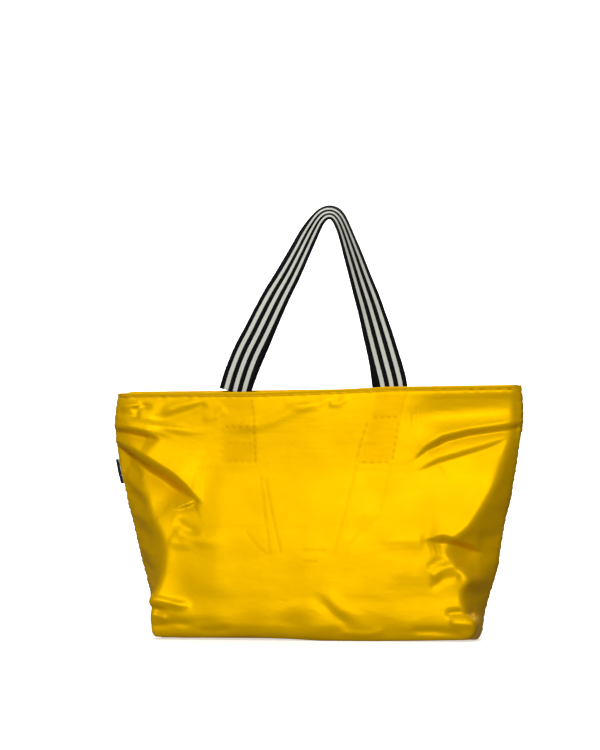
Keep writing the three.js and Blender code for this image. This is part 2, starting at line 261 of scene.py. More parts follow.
def swept(name, places, acrosses, normals, section):
    """A closed bar: section holds (across, out) pairs, set at each place along a line. Directions and
    section may be one for all places, or one for each."""
    places = np.asarray(places, float)
    acrosses, normals = (np.broadcast_to(np.asarray(a, float), places.shape) for a in (acrosses, normals))
    section = np.broadcast_to(np.asarray(section, float), (len(places), *np.shape(section)[-2:]))
    points = places[:, None] + section[:, :, :1] * acrosses[:, None] + section[:, :, 1:] * normals[:, None]
    count = section.shape[1]
    along = lengths_along(places)
    index = np.arange(len(places) * count).reshape(len(places), count)
    sides = quads(np.concatenate([index, index[:, :1]], axis=1))
    faces = sides.tolist() + [index[0].tolist(), index[-1][::-1].tolist()]
    uvs = np.stack([np.repeat(along, count), section[:, :, 0].ravel()], axis=1)
    obj = mesh_object(name, points.reshape(-1, 3), faces, uvs)
    return outwards(obj)


def outwards(obj):
    """Turns an object's faces to face out of its solid."""
    work = bmesh.new()
    work.from_mesh(obj.data)
    bmesh.ops.recalc_face_normals(work, faces=work.faces)
    work.to_mesh(obj.data)
    work.free()
    return obj


def band_section(width, thickness, columns):
    """The rounded cross-section of a flat band."""
    half = 0.5 * width
    nose = 0.5 * thickness
    across = np.linspace(-half + nose, half - nose, columns)
    top = [(a, nose) for a in across]
    right = [(half - 0.3 * nose, 0.6 * nose), (half, 0.0), (half - 0.3 * nose, -0.6 * nose)]
    bottom = [(a, -nose) for a in across[::-1]]
    left = [(-half + 0.3 * nose, -0.6 * nose), (-half, 0.0), (-half + 0.3 * nose, 0.6 * nose)]
    return np.array(top + right + bottom + left)


# --- The shell ---

LOOP = 2 * HALF_LOOP
WALL_INDEX = np.arange((ROWS + 1) * LOOP).reshape(ROWS + 1, LOOP)


def floor_index():
    """The bottom's grid of points, front row first; its edges are the wall's last row."""
    foot = WALL_INDEX[-1]
    grid = np.zeros((2 * SIDE_COLUMNS + 1, FACE_COLUMNS + 1), int)
    inner = (2 * SIDE_COLUMNS - 1, FACE_COLUMNS - 1)
    grid[1:-1, 1:-1] = WALL_INDEX.size + np.arange(inner[0] * inner[1]).reshape(inner)
    grid[0] = foot[SIDE_COLUMNS:SIDE_COLUMNS + FACE_COLUMNS + 1]
    grid[-1] = foot[HALF_LOOP + SIDE_COLUMNS:LOOP - SIDE_COLUMNS + 1][::-1]
    grid[:, 0] = foot[(SIDE_COLUMNS - np.arange(2 * SIDE_COLUMNS + 1)) % LOOP]
    grid[:, -1] = foot[SIDE_COLUMNS + FACE_COLUMNS + np.arange(2 * SIDE_COLUMNS + 1)]
    return grid


FLOOR_INDEX = floor_index()
POINT_COUNT = FLOOR_INDEX.max() + 1


def shell_faces(side):
    """Faces of the front (-1) or back (1) half, or of the whole shell (0)."""
    closed = np.concatenate([WALL_INDEX, WALL_INDEX[:, :1]], axis=1)
    wall = {-1: closed[:, :HALF_LOOP + 1], 1: closed[:, HALF_LOOP:], 0: closed}[side]
    floor = {-1: FLOOR_INDEX[:SIDE_COLUMNS + 1], 1: FLOOR_INDEX[SIDE_COLUMNS:], 0: FLOOR_INDEX}[side]
    return np.concatenate([quads(wall), quads(floor)])


def shell_form():
    """The bag's resting form, before its folds."""
    points = np.zeros((POINT_COUNT, 3))
    heights = np.linspace(RIM_Z, 0, ROWS + 1)
    values = outline_at(heights)
    for r, z in enumerate(heights):
        soft = int(np.interp(z, [0.0, 0.03, 0.1, 0.22, RIM_Z], [10, 16, 22, 36, 12]))
        bulge = np.interp(z, [0.0, 0.05, 0.2, 0.28, RIM_Z], [0.0, 0.0, 0.003, 0.003, 0.0015])
        front = half_section(values[r], soft, 0.0)
        back = half_section(back_values(values[r]), 2 * soft, bulge)[::-1] * [1, -1]
        points[WALL_INDEX[r], :2] = np.concatenate([front[:-1], back[:-1]])
        points[WALL_INDEX[r], 2] = z
    edges = points[FLOOR_INDEX]
    across = np.linspace(0, 1, FACE_COLUMNS + 1)[:, None]
    chords = [row[0] * (1 - across) + row[-1] * across for row in edges]
    front_bow, back_bow = edges[0] - chords[0], edges[-1] - chords[-1]
    for k, share in enumerate(np.linspace(0, 1, 2 * SIDE_COLUMNS + 1)):
        row = chords[k] + front_bow * (1 - share) + back_bow * share
        points[FLOOR_INDEX[k, 1:-1]] = row[1:-1]
    return points


def lifted(points):
    """The rim's and the foot's own rise and fall along x."""
    moved = points.copy()
    x, y, z = points.T
    share = smooth_step((y + 0.004) / 0.008)
    lift = rim_lift(x, -1) * (1 - share) + rim_lift(x, 1) * share
    moved[:, 2] += lift * smooth_step((z - 0.12) / (RIM_Z - 0.12))
    near_edge = smooth_step(np.abs(y) / 0.05) * smooth_step(1 - z / 0.035)
    moved[:, 2] += np.interp(x, *FOOT_LIFT.T) * near_edge
    return moved


SETTLE_CLOTH = {
    "quality": 5, "mass": 0.15, "tension_stiffness": 25, "compression_stiffness": 25, "shear_stiffness": 10,
    "bending_stiffness": 1.5, "tension_damping": 15, "compression_damping": 15, "shear_damping": 15,
    "air_damping": 5, "vertex_group_mass": "hold", "pin_stiffness": 0.6, "vertex_group_shrink": "spare",
    "shrink_min": 0.0, "shrink_max": -0.012,
}
SETTLE_GRAVITY = 0.25
SETTLE_FRAMES = 12
SETTLE_PASSES = 24  # how often the movement is averaged along x
SETTLE_SIDEWAYS = 0.3  # the share of the movement along x that is kept
SETTLE_SHARE = 0.55  # the share of all of the movement that is kept
SETTLE_LIMIT = 0.009  # the furthest that a point moves


def settled(points):
    """The shell after a short cloth simulation with a little spare cloth at its sides."""
    obj = mesh_object("settling_cloth", points, shell_faces(0))
    x, _, z = points.T
    to_edge = np.minimum(RIM_Z - z, z)
    hold = np.clip(1 - smooth_step(to_edge / 0.02), 0.06, 1)
    hold = np.where(z < 0.0005, 1.0, hold)
    spare = smooth_step((np.abs(x) - 0.09) / 0.09) * smooth_step((0.28 - z) / 0.05)
    for label, weights in (("hold", hold), ("spare", spare)):
        group = obj.vertex_groups.new(name=label)
        for i, weight in enumerate(weights):
            group.add([i], float(weight), "REPLACE")
    modifier = obj.modifiers.new("cloth", "CLOTH")
    for name, value in SETTLE_CLOTH.items():
        setattr(modifier.settings, name, value)
    modifier.settings.effector_weights.gravity = SETTLE_GRAVITY
    modifier.point_cache.frame_start = 1
    modifier.point_cache.frame_end = SETTLE_FRAMES
    scene = bpy.context.scene
    for step in range(1, SETTLE_FRAMES + 1):
        scene.frame_set(step)
    ended = mesh_points(obj.evaluated_get(bpy.context.evaluated_depsgraph_get()))
    scene.frame_set(1)
    bpy.data.objects.remove(obj)
    move = ended - points
    move[:, 0] *= SETTLE_SIDEWAYS
    wall = move[WALL_INDEX]
    for _ in range(SETTLE_PASSES):
        wall = 0.25 * np.roll(wall, 1, axis=1) + 0.5 * wall + 0.25 * np.roll(wall, -1, axis=1)
    move[WALL_INDEX] = wall
    move *= (SETTLE_SHARE * smooth_step((points[:, 2] - 0.002) / 0.05))[:, None]
    length = np.linalg.norm(move, axis=1)[:, None]
    move *= np.minimum(1, SETTLE_LIMIT / np.maximum(length, 1e-9))
    ended = points + move
    ended[:, 2] = np.maximum(ended[:, 2], 0)
    return ended


def cloth_coordinates():
    """Each point's place on the flat cloth, in metres."""
    cloth = np.zeros((POINT_COUNT, 2))
    pitch = RIM_Z / ROWS
    cloth[WALL_INDEX, 0] = (np.arange(LOOP) % HALF_LOOP) * pitch
    cloth[WALL_INDEX, 1] = (np.arange(ROWS + 1) * pitch)[:, None]
    inner = FLOOR_INDEX[1:-1, 1:-1]
    cloth[inner, 0] = (SIDE_COLUMNS + np.arange(1, FACE_COLUMNS)) * pitch
    from_edge = np.minimum(np.arange(1, 2 * SIDE_COLUMNS), np.arange(1, 2 * SIDE_COLUMNS)[::-1])
    cloth[inner, 1] = RIM_Z + (from_edge * pitch)[:, None]
    return cloth


# --- Folds ---
# Each ridge is a line across a face, as (x, z) in millimetres, with its height in millimetres (below
# zero for a valley), its half width and how far it fades in at its start and end.

FRONT_RIDGES = [
    # The left side's cloth, which sags in shallow waves.
    ([(-240, 214), (-226, 206), (-212, 192)], -2.8, 6, 4, 8),
    ([(-236, 196), (-222, 184), (-206, 172)], 2.4, 5, 4, 8),
    ([(-230, 176), (-216, 166), (-202, 156)], -2.6, 6, 4, 8),
    ([(-226, 152), (-212, 146), (-196, 138)], 2.6, 6, 4, 8),
    ([(-221, 132), (-208, 128), (-192, 118)], -2.4, 6, 4, 8),
    ([(-217, 112), (-205, 106), (-190, 96)], 2.6, 6, 4, 8),
    ([(-213, 92), (-200, 84), (-188, 78)], -2.6, 5, 4, 8),
    ([(-208, 72), (-198, 66), (-188, 62)], 2.0, 5, 4, 6),
    # The right side's cloth.
    ([(236, 176), (226, 168), (216, 152)], 1.8, 7, 4, 8),
    ([(228, 128), (214, 120), (196, 118)], -2.0, 7, 4, 8),
    ([(220, 96), (206, 86), (192, 84)], 1.8, 7, 4, 8),
    ([(210, 60), (200, 54), (190, 52)], -1.8, 6, 4, 6),
    # Thin folds that fan out from the left seam below the rim.
    ([(-240, 266), (-221, 260), (-190, 253), (-150, 248), (-118, 250)], 2.2, 5, 0, 60),
    ([(-240, 258), (-222, 254), (-195, 248), (-160, 239)], 1.6, 4, 0, 40),
    ([(-240, 277), (-225, 281), (-210, 279)], 2.2, 3.5, 6, 10),
    ([(-224, 272), (-213, 280), (-198, 278)], -2.2, 4, 6, 12),
    ([(-238, 270), (-224, 266), (-212, 268)], -1.8, 4, 0, 8),
    ([(-190, 270), (-171, 277), (-150, 283), (-128, 288)], 1.5, 6, 14, 20),
    ([(-205, 263), (-176, 266), (-150, 274), (-131, 284)], -1.4, 6, 14, 10),
    ([(-107, 253), (-68, 255), (-45, 262), (-28, 271), (-6, 277), (12, 276)], 1.3, 7, 30, 30),
    ([(-138, 262), (-120, 266), (-108, 277)], 0.9, 5, 10, 6),
    # Beyond the tip of the long fold.
    ([(-164, 143), (-150, 131), (-130, 124)], -1.7, 6, 8, 16),
    ([(-166, 132), (-150, 121), (-126, 116), (-96, 117)], 1.3, 8, 10, 30),
    ([(-172, 118), (-158, 112), (-136, 110)], 1.0, 5, 6, 16),
    # Left foot.
    ([(-190, 47), (-177, 46), (-155, 41), (-136, 39)], 3.6, 5, 2, 20),
    ([(-192, 16), (-176, 17), (-157, 19), (-130, 18)], -2.4, 4, 4, 20),
    ([(-188, 30), (-176, 27), (-166, 22)], 2.0, 4, 2, 6),
    ([(-131, 9), (-110, 10), (-86, 13)], -2.0, 5, 14, 14),
    ([(-180, 8), (-130, 7), (-80, 7)], 0.8, 4, 10, 20),
    # Right foot and the right of the face.
    ([(76, 115), (107, 118), (139, 117)], 1.4, 10, 30, 10),
    ([(92, 84), (126, 80), (152, 90)], 0.9, 12, 20, 10),
    ([(143, 72), (158, 84), (176, 90)], 1.9, 5, 8, 6),
    ([(139, 84), (150, 92), (164, 95)], -1.2, 4, 6, 6),
    ([(142, 60), (160, 72), (180, 76)], -1.4, 5, 8, 6),
    ([(160, 32), (178, 34), (194, 32)], -2.6, 4, 8, 2),
    ([(165, 22), (182, 21), (198, 19)], 2.4, 5, 8, 4),
    ([(4, 56), (30, 32), (58, 12)], -1.4, 6, 24, 24),
    ([(16, 60), (42, 36), (74, 18)], 1.2, 8, 26, 26),
    ([(36, 10), (70, 8), (95, 12)], 1.2, 4, 10, 10),
    ([(119, 12), (150, 12), (184, 8)], -1.6, 4, 12, 8),
    ([(-70, 8), (-30, 10), (20, 8)], 0.7, 6, 20, 20),
    # The cloth above the right-hand fan falls back under the rim.
    ([(96, 264), (170, 266), (246, 270)], -6.5, 20, 60, 0),
    ([(16, 292), (14, 286), (4, 279), (-16, 277), (-40, 283)], 1.0, 5, 6, 20),
    ([(16, 280), (30, 280), (42, 290)], 1.2, 4, 6, 6),
]

# Each drop is a line under which the cloth falls back, with how far, over what width, and its fades.
FRONT_DROPS = [
    ([(-252, 253), (-230, 250), (-208, 245), (-186, 238)], 8.0, 8, 0, 22),
    ([(-246, 233), (-222, 222), (-200, 208), (-178, 195), (-158, 181), (-130, 159)], 16.0, 15, 0, 50),
    ([(-136, 166), (-150, 159), (-172, 152)], 3.0, 5, 10, 22),
    ([(-200, 43), (-182, 39), (-164, 36)], 4.0, 6, 0, 16),
    ([(116, 208), (136, 226), (157, 238), (185, 245), (221, 250), (250, 254)], 6.6, 10, 50, 0),
    ([(120, 196), (150, 212), (180, 221), (206, 229), (236, 240)], 2.6, 10, 40, 24),
    ([(134, 117), (160, 119), (182, 112), (206, 102)], 7.0, 10, 24, 20),
]

BACK_RIDGES = [
    ([(240, 262), (205, 254), (160, 249), (120, 251)], 2.4, 6, 0, 50),
    ([(-238, 232), (-190, 214), (-150, 206)], 2.8, 7, 0, 30),
    ([(-70, 262), (-20, 270), (40, 266)], 1.2, 9, 30, 30),
    ([(-186, 44), (-160, 38), (-134, 40)], 3.2, 6, 2, 18),
    ([(188, 30), (168, 36), (140, 34)], -3.0, 6, 2, 18),
    ([(-60, 12), (-10, 10), (50, 13)], -2.2, 5, 20, 20),
    ([(40, 60), (66, 38), (90, 24)], 1.6, 8, 14, 14),
    ([(-128, 96), (-100, 104), (-60, 102)], 1.4, 10, 20, 20),
]
BACK_DROPS = [
    ([(250, 246), (216, 236), (184, 218), (156, 197), (140, 186)], 10.0, 13, 0, 18),
    ([(-252, 252), (-222, 247), (-190, 238), (-160, 224)], 7.0, 9, 0, 22),
    ([(-206, 108), (-180, 114), (-152, 112)], 7.0, 9, 6, 14),
    ([(200, 66), (182, 70), (160, 62)], 4.5, 7, 4, 14),
]


def near_line(places, line):
    """Distance from a line at places (x, z), how far above it, and how far along; then its length."""
    line = resampled(np.array(line, float), 60) / 1000
    along = lengths_along(line)
    ways = np.gradient(line, axis=0)
    uprights = unit(np.stack([-ways[:, 1], ways[:, 0]], axis=1))
    uprights *= np.where(uprights[:, 1:] < 0, -1, 1)
    gaps = places[:, None, :] - line[None]
    nearest = np.linalg.norm(gaps, axis=2).argmin(axis=1)
    gap = gaps[np.arange(len(places)), nearest]
    above = (gap * uprights[nearest]).sum(axis=1)
    return np.linalg.norm(gap, axis=1), above, along[nearest], along[-1]


def faded(at, length, fade_in, fade_out):
    rise = smooth_step(at / (fade_in / 1000)) if fade_in else 1.0
    fall = smooth_step((length - at) / (fade_out / 1000)) if fade_out else 1.0
    return rise * fall


def folds_lift(places, ridges, drops):
    """How far the folds lift the cloth at places (x, z)."""
    lift = np.zeros(len(places))
    for line, height, width, fade_in, fade_out in ridges:
        distance, _, at, length = near_line(places, line)
        lift += 0.7 * height / 1000 * bell(distance, width / 1000) * faded(at, length, fade_in, fade_out)
    for line, drop, band, fade_in, fade_out in drops:
        distance, above, at, length = near_line(places, line)
        strength = faded(at, length, fade_in, fade_out)
        half = band / 2000 * (0.35 + 0.65 * strength)
        side = np.clip(above / half, -1, 1)
        reach = np.where(above > 0, 2.0, 1.6) * band / 1000 * (0.15 + 0.85 * strength)
        decay = np.exp(-np.maximum(distance - half, 0) / reach)
        share = np.where(above > 0, 0.35, 0.65) * np.sin(0.5 * math.pi * side)
        lift += drop / 1000 * share * decay * strength
    return lift


# --- Painted shade of the pieces behind the front, where they show through the cloth ---
# Lines, as (x, z) in millimetres, with how dark the painted shade along each is and the pitch of its
# stitches (0: no stitches).

THROUGH_SHADE_LINES = [
    ([(-115, 294), (-113, 253), (-110, 210)], 0.35, 9),
    ([(-79, 292), (-75, 270), (-70, 207)], 0.75, 8),
    ([(-114, 253), (-74, 252)], 0.9, 8),
    ([(-112, 233), (-72, 232)], 0.6, 9),
    ([(-110, 212), (-70, 211)], 0.6, 8),
    ([(110, 294), (103, 262)], 0.8, 0),
    ([(103, 262), (94, 208)], 0.8, 8),
    ([(94, 208), (83, 150)], 0.35, 0),
    ([(66, 262), (57, 233), (51, 209)], 0.6, 9),
    ([(53, 209), (40, 145), (29, 99)], 0.45, 0),
    ([(66, 262), (104, 263)], 0.9, 8),
    ([(53, 209), (93, 209)], 0.7, 9),
    ([(-63, 196), (-55, 146), (-46, 97)], 0.45, 0),
    ([(-57, 192), (-46, 146), (-33, 101)], 0.55, 0),
    ([(-79, 130), (-61, 109), (-47, 99)], 0.4, 0),
    ([(83, 146), (62, 130), (44, 110)], 0.45, 0),
    ([(-10, 105), (22, 105)], 0.6, 0),
    ([(-9, 92), (14, 92)], 0.5, 0),
    ([(-128, 133), (-60, 134), (10, 133)], 0.25, 0),
]
# Strips of doubled cloth behind the front: the strip's middle line, half width and the darkness of its
# painted shade.
THROUGH_SHADE_STRIPS = [
    ([(-96, 294), (-94, 253), (-90, 207)], 18, 0.30),
    ([(91, 294), (87, 262), (74, 208)], 17, 0.30),
    ([(87, 250), (83, 236)], 14, 0.25),
    ([(72, 145), (56, 128)], 9, 0.22),
]


def shade_through_cloth(places):
    """How dark the painted shade of the pieces behind the cloth makes it at places (x, z), from 0 to 1."""
    dark = np.zeros(len(places))
    for line, strength, pitch in THROUGH_SHADE_LINES:
        distance, _, at, length = near_line(places, line)
        stitches = 0.35 + 0.65 * np.cos(math.pi * at / (pitch / 1000)) ** 2 if pitch else 0.6
        ends = faded(at, length, 4, 4)
        dark = np.maximum(dark, strength * stitches * ends * bell(distance, 0.0018))
    for line, half, strength in THROUGH_SHADE_STRIPS:
        distance, _, at, length = near_line(places, line)
        edge = smooth_step((half / 1000 - distance) / 0.004 + 0.5)
        dark = np.maximum(dark, strength * edge * faded(at, length, 6, 6))
    return dark


def small_folds(x, z, from_seam, below_rim):
    """How far the uneven foot, the puckered seam and the hem's stitches lift the cloth."""
    wall = smooth_step(z / 0.006)
    foot = z * bell(z, 0.022) / 0.0135
    uneven = np.sin(x / 0.021 + 1.4 * np.sin(x / 0.034)) + 0.6 * np.sin(x / 0.0087)
    lift = 0.0011 * foot * uneven * smooth_step(from_seam / 0.02)
    pucker = np.sin(z / 0.0011) * np.sin(z / 0.0037 + 1.0)
    lift += 0.0009 * pucker * bell(from_seam, 0.011) * wall * smooth_step(from_seam / 0.003)
    lift -= 0.0014 * bell(from_seam, 0.0025) * wall * smooth_step(below_rim / 0.01)
    ruffle = 0.6 + 0.4 * np.sin(x / 0.0021) * np.sin(x / 0.0135)
    return lift - 0.0007 * bell(below_rim - 0.0055, 0.0014) * ruffle


def cloth_piece(name, points, side):
    """One half of the shell, finer and with its folds, seams and hem line."""
    faces = shell_faces(side)
    used, renumbered = np.unique(faces, return_inverse=True)
    cloth = cloth_coordinates()
    width = HALF_LOOP * RIM_Z / ROWS
    if side > 0:
        cloth[WALL_INDEX[:, 0], 0] = width
    piece = mesh_object(name, points[used], renumbered.reshape(faces.shape), cloth[used])
    apply_modifier(piece, "SUBSURF", levels=1, render_levels=1)
    places = mesh_points(piece)
    x, _, z = places.T
    across = np.zeros(len(places))
    across[corner_points(piece.data)] = values_of(piece.data.uv_layers["cloth"].data, "uv", 2)[:, 0]
    from_seam = np.minimum(across, width - across)
    below_rim = RIM_Z + rim_lift(x, side) - z
    wall = smooth_step(z / 0.006)
    folds = (FRONT_RIDGES, FRONT_DROPS) if side < 0 else (BACK_RIDGES, BACK_DROPS)
    lift = folds_lift(places[:, ::2], *folds) * smooth_step(from_seam / 0.014)
    lift *= wall * smooth_step((below_rim - 0.004) / 0.012)
    lift += small_folds(x, z, from_seam, below_rim)
    # Painted shade of the pieces behind the front, kept for the material; it also dents the cloth a little.
    dark = shade_through_cloth(places[:, ::2]) * wall if side < 0 else np.zeros(len(places))
    lift -= 0.00035 * dark
    ways = unit(values_of(piece.data.vertices, "normal") * [0.45, 1, 1])
    places = places + ways * lift[:, None]
    # The two panels meet at the seam and stay clear of its tape elsewhere.
    _, y, z = places.T
    clear = 0.0034 * smooth_step(from_seam / 0.007) * smooth_step(z / 0.02)
    places[:, 1] = np.where(z > 0.004, side * np.maximum(side * y, clear), y)
    places[:, 2] = np.maximum(z, 0.0)
    set_mesh_points(piece, places)
    layer = piece.data.attributes.new("show_through", "FLOAT", "POINT")
    layer.data.foreach_set("value", dark)
    return piece


# --- Materials ---


def node(tree, kind, inputs, **settings):
    """Adds a node with its inputs and settings."""
    made = tree.nodes.new("ShaderNode" + kind)
    for key, value in settings.items():
        setattr(made, key, value)
    return fill(tree, made, inputs)


def fill(tree, made, inputs):
    """Sets a node's inputs, by name or number: each is a value or another node's socket."""
    for key, value in inputs.items():
        if isinstance(value, bpy.types.NodeSocket):
            tree.links.new(value, made.inputs[key])
        else:
            made.inputs[key].default_value = value
    return made


class Look:
    """A material with one shader, and the nodes that it is made with."""

    def __init__(self, name, color, roughness, metallic=0.0):
        self.material = bpy.data.materials.new(name)
        self.material.use_nodes = True
        self.tree = self.material.node_tree
        self.shade({"Base Color": (*color, 1), "Roughness": roughness, "Metallic": metallic})

    def shade(self, inputs):
        fill(self.tree, self.tree.nodes["Principled BSDF"], inputs)

    def made(self, kind, inputs, output=0, **settings):
        return node(self.tree, kind, inputs, **settings).outputs[output]

    def maths(self, operation, *values):
        return self.made("Math", dict(enumerate(values)), operation=operation)

    def plus(self, a, b):
        return self.maths("ADD", a, b)

    def times(self, a, b):
        return self.maths("MULTIPLY", a, b)

    def mixed(self, share, low, high):
        """A colour between low and high."""
        low, high = (c if isinstance(c, bpy.types.NodeSocket) else (*c, 1) for c in (low, high))
        return self.made("Mix", {0: share, 6: low, 7: high}, 2, data_type="RGBA")

    def noise(self, scale, detail=2.0, roughness=0.5, stretch=None):
        place = self.made("TexCoord", {}, "Object")
        if stretch:
            place = self.made("Mapping", {"Vector": place, "Scale": stretch})
        inputs = {"Vector": place, "Scale": scale, "Detail": detail, "Roughness": roughness}
        return self.made("TexNoise", inputs)

    def cloth_uv(self):
        """The place on the flat cloth, in metres: along u and across v."""
        place = self.made("UVMap", {}, uv_map="cloth")
        return node(self.tree, "SeparateXYZ", {0: place}).outputs[:2]

    def waves(self, value, pitch):
        """A wave from 0 to 1 with the given pitch in metres."""
        sine = self.maths("SINE", self.times(value, 2 * math.pi / pitch))
        return self.maths("MULTIPLY_ADD", sine, 0.5, 0.5)

    def bump(self, height, strength, distance, **under):
        """Bumps in the surface, on top of those given as Normal."""
        bump = self.made("Bump", {"Height": height, "Strength": strength, "Distance": distance, **under})
        self.shade({"Normal": bump})
        return bump


def nylon_material(name, light, deep, metallic):
    """Satin nylon: plain weave, faint crinkles, soft colour drift, and painted shade where the pieces behind
    show through.
    """
    look = Look(name, light, 0.40, metallic)
    u, v = look.cloth_uv()
    drift = look.plus(look.times(look.noise(7.0, 3.0), 0.35), look.times(look.noise(60.0), 0.12))
    # Painted shade: darker colour where the strap tails, stitches and pouch behind the cloth show through.
    behind = look.times(look.made("Attribute", {}, "Fac", attribute_name="show_through"), 0.85)
    shade_color = [c * s for c, s in zip(deep, (0.72, 0.62, 0.5))]
    look.shade({
        "Base Color": look.mixed(behind, look.mixed(drift, light, deep), shade_color),
        "Roughness": look.maths("MULTIPLY_ADD", look.noise(24.0, 4.0), 0.12, 0.40),
        "Specular IOR Level": 0.1, "Specular Tint": (1.0, 0.75, 0.0, 1),
        "Sheen Weight": 0.01, "Sheen Roughness": 0.4, "Sheen Tint": (1.0, 0.75, 0.02, 1),
    })
    crinkled = look.bump(look.noise(1.0, 5.0, 0.55, (16.0, 30.0, 46.0)), 0.12, 0.005)
    look.bump(look.times(look.waves(u, 0.0007), look.waves(v, 0.0007)), 0.10, 0.00012, Normal=crinkled)
    return look.material


BLACK_STRIPE = 0.00575
WHITE_STRIPE = 0.005


def webbing_material():
    """Cotton webbing: four black and three off-white stripes across its width, with a diagonal twill whose
    furrows are darkened as painted shade.
    """
    look = Look("striped_webbing", (0.012, 0.012, 0.014), 0.8)
    u, v = look.cloth_uv()
    step = look.times(look.maths("SUBTRACT", look.waves(look.plus(u, v), 0.0014), 0.5), 0.0004)
    edge = look.plus(look.plus(v, 0.5 * STRAP_WIDTH), step)
    inside = look.maths("MODULO", edge, BLACK_STRIPE + WHITE_STRIPE)
    white = look.maths("GREATER_THAN", inside, BLACK_STRIPE)
    white = look.times(white, look.maths("LESS_THAN", look.maths("ABSOLUTE", v), 0.0165))
    speckle = look.noise(420.0)
    off_white = look.mixed(look.noise(26.0, 3.0), (1.0, 0.99, 0.89), (0.94, 0.93, 0.82))
    off_white = look.mixed(look.times(speckle, 0.25), off_white, (0.78, 0.76, 0.67))
    black = look.mixed(speckle, (0.003, 0.0032, 0.004), (0.009, 0.0095, 0.011))
    twill = look.waves(look.plus(u, look.times(v, 1.2)), 0.0014)
    # Painted shade: the colour darkens towards black in the twill's furrows.
    twill_shade = look.times(look.maths("SUBTRACT", 1.0, twill), 0.12)
    look.shade({
        "Base Color": look.mixed(twill_shade, look.mixed(white, black, off_white), (0.0, 0.0, 0.0)),
        "Specular IOR Level": 0.08, "Sheen Weight": 0.01, "Sheen Roughness": 0.6,
    })
    look.bump(speckle, 0.25, 0.0002, Normal=look.bump(twill, 0.4, 0.0004))
    return look.material


def woven_material(name, light, deep, pitch, roughness, rib=0.5):
    """A ribbed woven tape."""
    look = Look(name, light, roughness)
    u, v = look.cloth_uv()
    ribs = look.waves(look.plus(u, look.times(look.maths("ABSOLUTE", v), 0.8)), pitch)
    share = look.plus(look.times(ribs, 0.4), look.times(look.noise(90.0, 3.0), 0.6))
    color = look.mixed(share, deep, light)
    look.shade({"Base Color": color, "Specular IOR Level": 0.25, "Sheen Weight": 0.15})
    look.bump(look.times(ribs, look.waves(v, 0.7 * pitch)), rib, 0.0003)
    return look.material


def thread_material(name, light, deep):
    """Twisted sewing thread."""
    look = Look(name, light, 0.55)
    twist = look.waves(look.plus(*look.cloth_uv()), 0.0006)
    look.shade({"Base Color": look.mixed(twist, deep, light), "Sheen Weight": 0.2})
    look.bump(twist, 0.5, 0.0001)
    return look.material


def metal_material():
    """Plated zinc, cloudy and brushed along its length."""
    look = Look("plated_metal", (0.55, 0.54, 0.52), 0.3, 1.0)
    brushed = look.noise(1.0, 3.0, stretch=(90.0, 1600.0, 1600.0))
    look.shade({
        "Base Color": look.mixed(look.noise(160.0, 4.0), (0.40, 0.39, 0.37), (0.66, 0.65, 0.62)),
        "Roughness": look.maths("MULTIPLY_ADD", brushed, 0.25, 0.2),
    })
    look.bump(brushed, 0.2, 0.00005)
    return look.material


def coil_material():
    """Dyed nylon filament, slightly see-through."""
    look = Look("zip_filament", (0.80, 0.42, 0.01), 0.32)
    share = look.noise(300.0)
    color = look.mixed(share, (0.86, 0.47, 0.01), (0.66, 0.33, 0.0))
    look.shade({"Base Color": color, "Subsurface Weight": 0.1, "Subsurface Scale": 0.001})
    look.bump(share, 0.1, 0.0001)
    return look.material


def floor_material():
    """A pale floor with a faint glow of its own, so that it stays pale."""
    look = Look("pale_floor", (0.93, 0.93, 0.93), 0.85)
    look.shade({
        "Base Color": look.mixed(look.noise(0.8, 3.0), (0.94, 0.94, 0.94), (0.90, 0.90, 0.90)),
        "Specular IOR Level": 0.1, "Emission Color": (1, 1, 1, 1), "Emission Strength": 0.56,
    })
    return look.material


LOOKS = {
    "nylon": nylon_material("satin_nylon", (0.95, 0.53, 0.0), (0.85, 0.45, 0.0), 0.28),
    "lining": nylon_material("inner_nylon", (0.80, 0.42, 0.0), (0.68, 0.33, 0.0), 0.1),
    "binding": woven_material("binding_tape", (0.78, 0.40, 0.0), (0.52, 0.25, 0.0), 0.0012, 0.7),
    "thread": thread_material("yellow_thread", (0.90, 0.52, 0.01), (0.62, 0.32, 0.0)),
    "webbing": webbing_material(),
    "zip_tape": woven_material("zip_tape_weave", (0.84, 0.45, 0.0), (0.62, 0.31, 0.0), 0.0009, 0.6),
    "zip_coil": coil_material(),
    "metal": metal_material(),
    "label_cloth": woven_material(
        "label_weave", (0.012, 0.016, 0.035), (0.004, 0.005, 0.012), 0.0006, 0.6, 0.3
    ),
}


# --- Pieces ---


def finish_piece(obj, slot, look=None, nodes=(), body="front"):
    """A piece's look, the hidden CAD parts that it replaces, and the body that it is attached to."""
    obj.data.materials.clear()
    obj.data.materials.append(LOOKS[look or slot])
    if nodes:
        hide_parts(*nodes)
    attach(obj, body)
    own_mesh(obj)
    return obj


class Cloth:
    """The finished front or back cloth, to lay other pieces on."""

    def __init__(self, obj, side):
        self.side = side
        self.points = mesh_points(obj)
        self.tree = BVHTree.FromPolygons(
            [tuple(p) for p in self.points], [tuple(f.vertices) for f in obj.data.polygons]
        )

    def at(self, x, z, inset=0.0):
        """The point of the cloth at (x, z), moved in from its outer face."""
        low = min(z, self.rim(x) - 0.0008)
        hit, normal, _, _ = self.tree.ray_cast(Vector((x, self.side * 1.0, low)), Vector((0, -self.side, 0)))
        if hit is None:
            return Vector((x, 0.0, z))
        inwards = inset / max(0.6, abs(normal.y))
        return Vector((x, hit.y - self.side * inwards, z))

    def rim(self, x):
        return RIM_Z + float(rim_lift(x, self.side))

    def seam_point(self, z):
        """The left side seam's point at height z."""
        return Vector([float(np.interp(z, self.seam_left[:, 2], self.seam_left[:, k])) for k in range(3)])


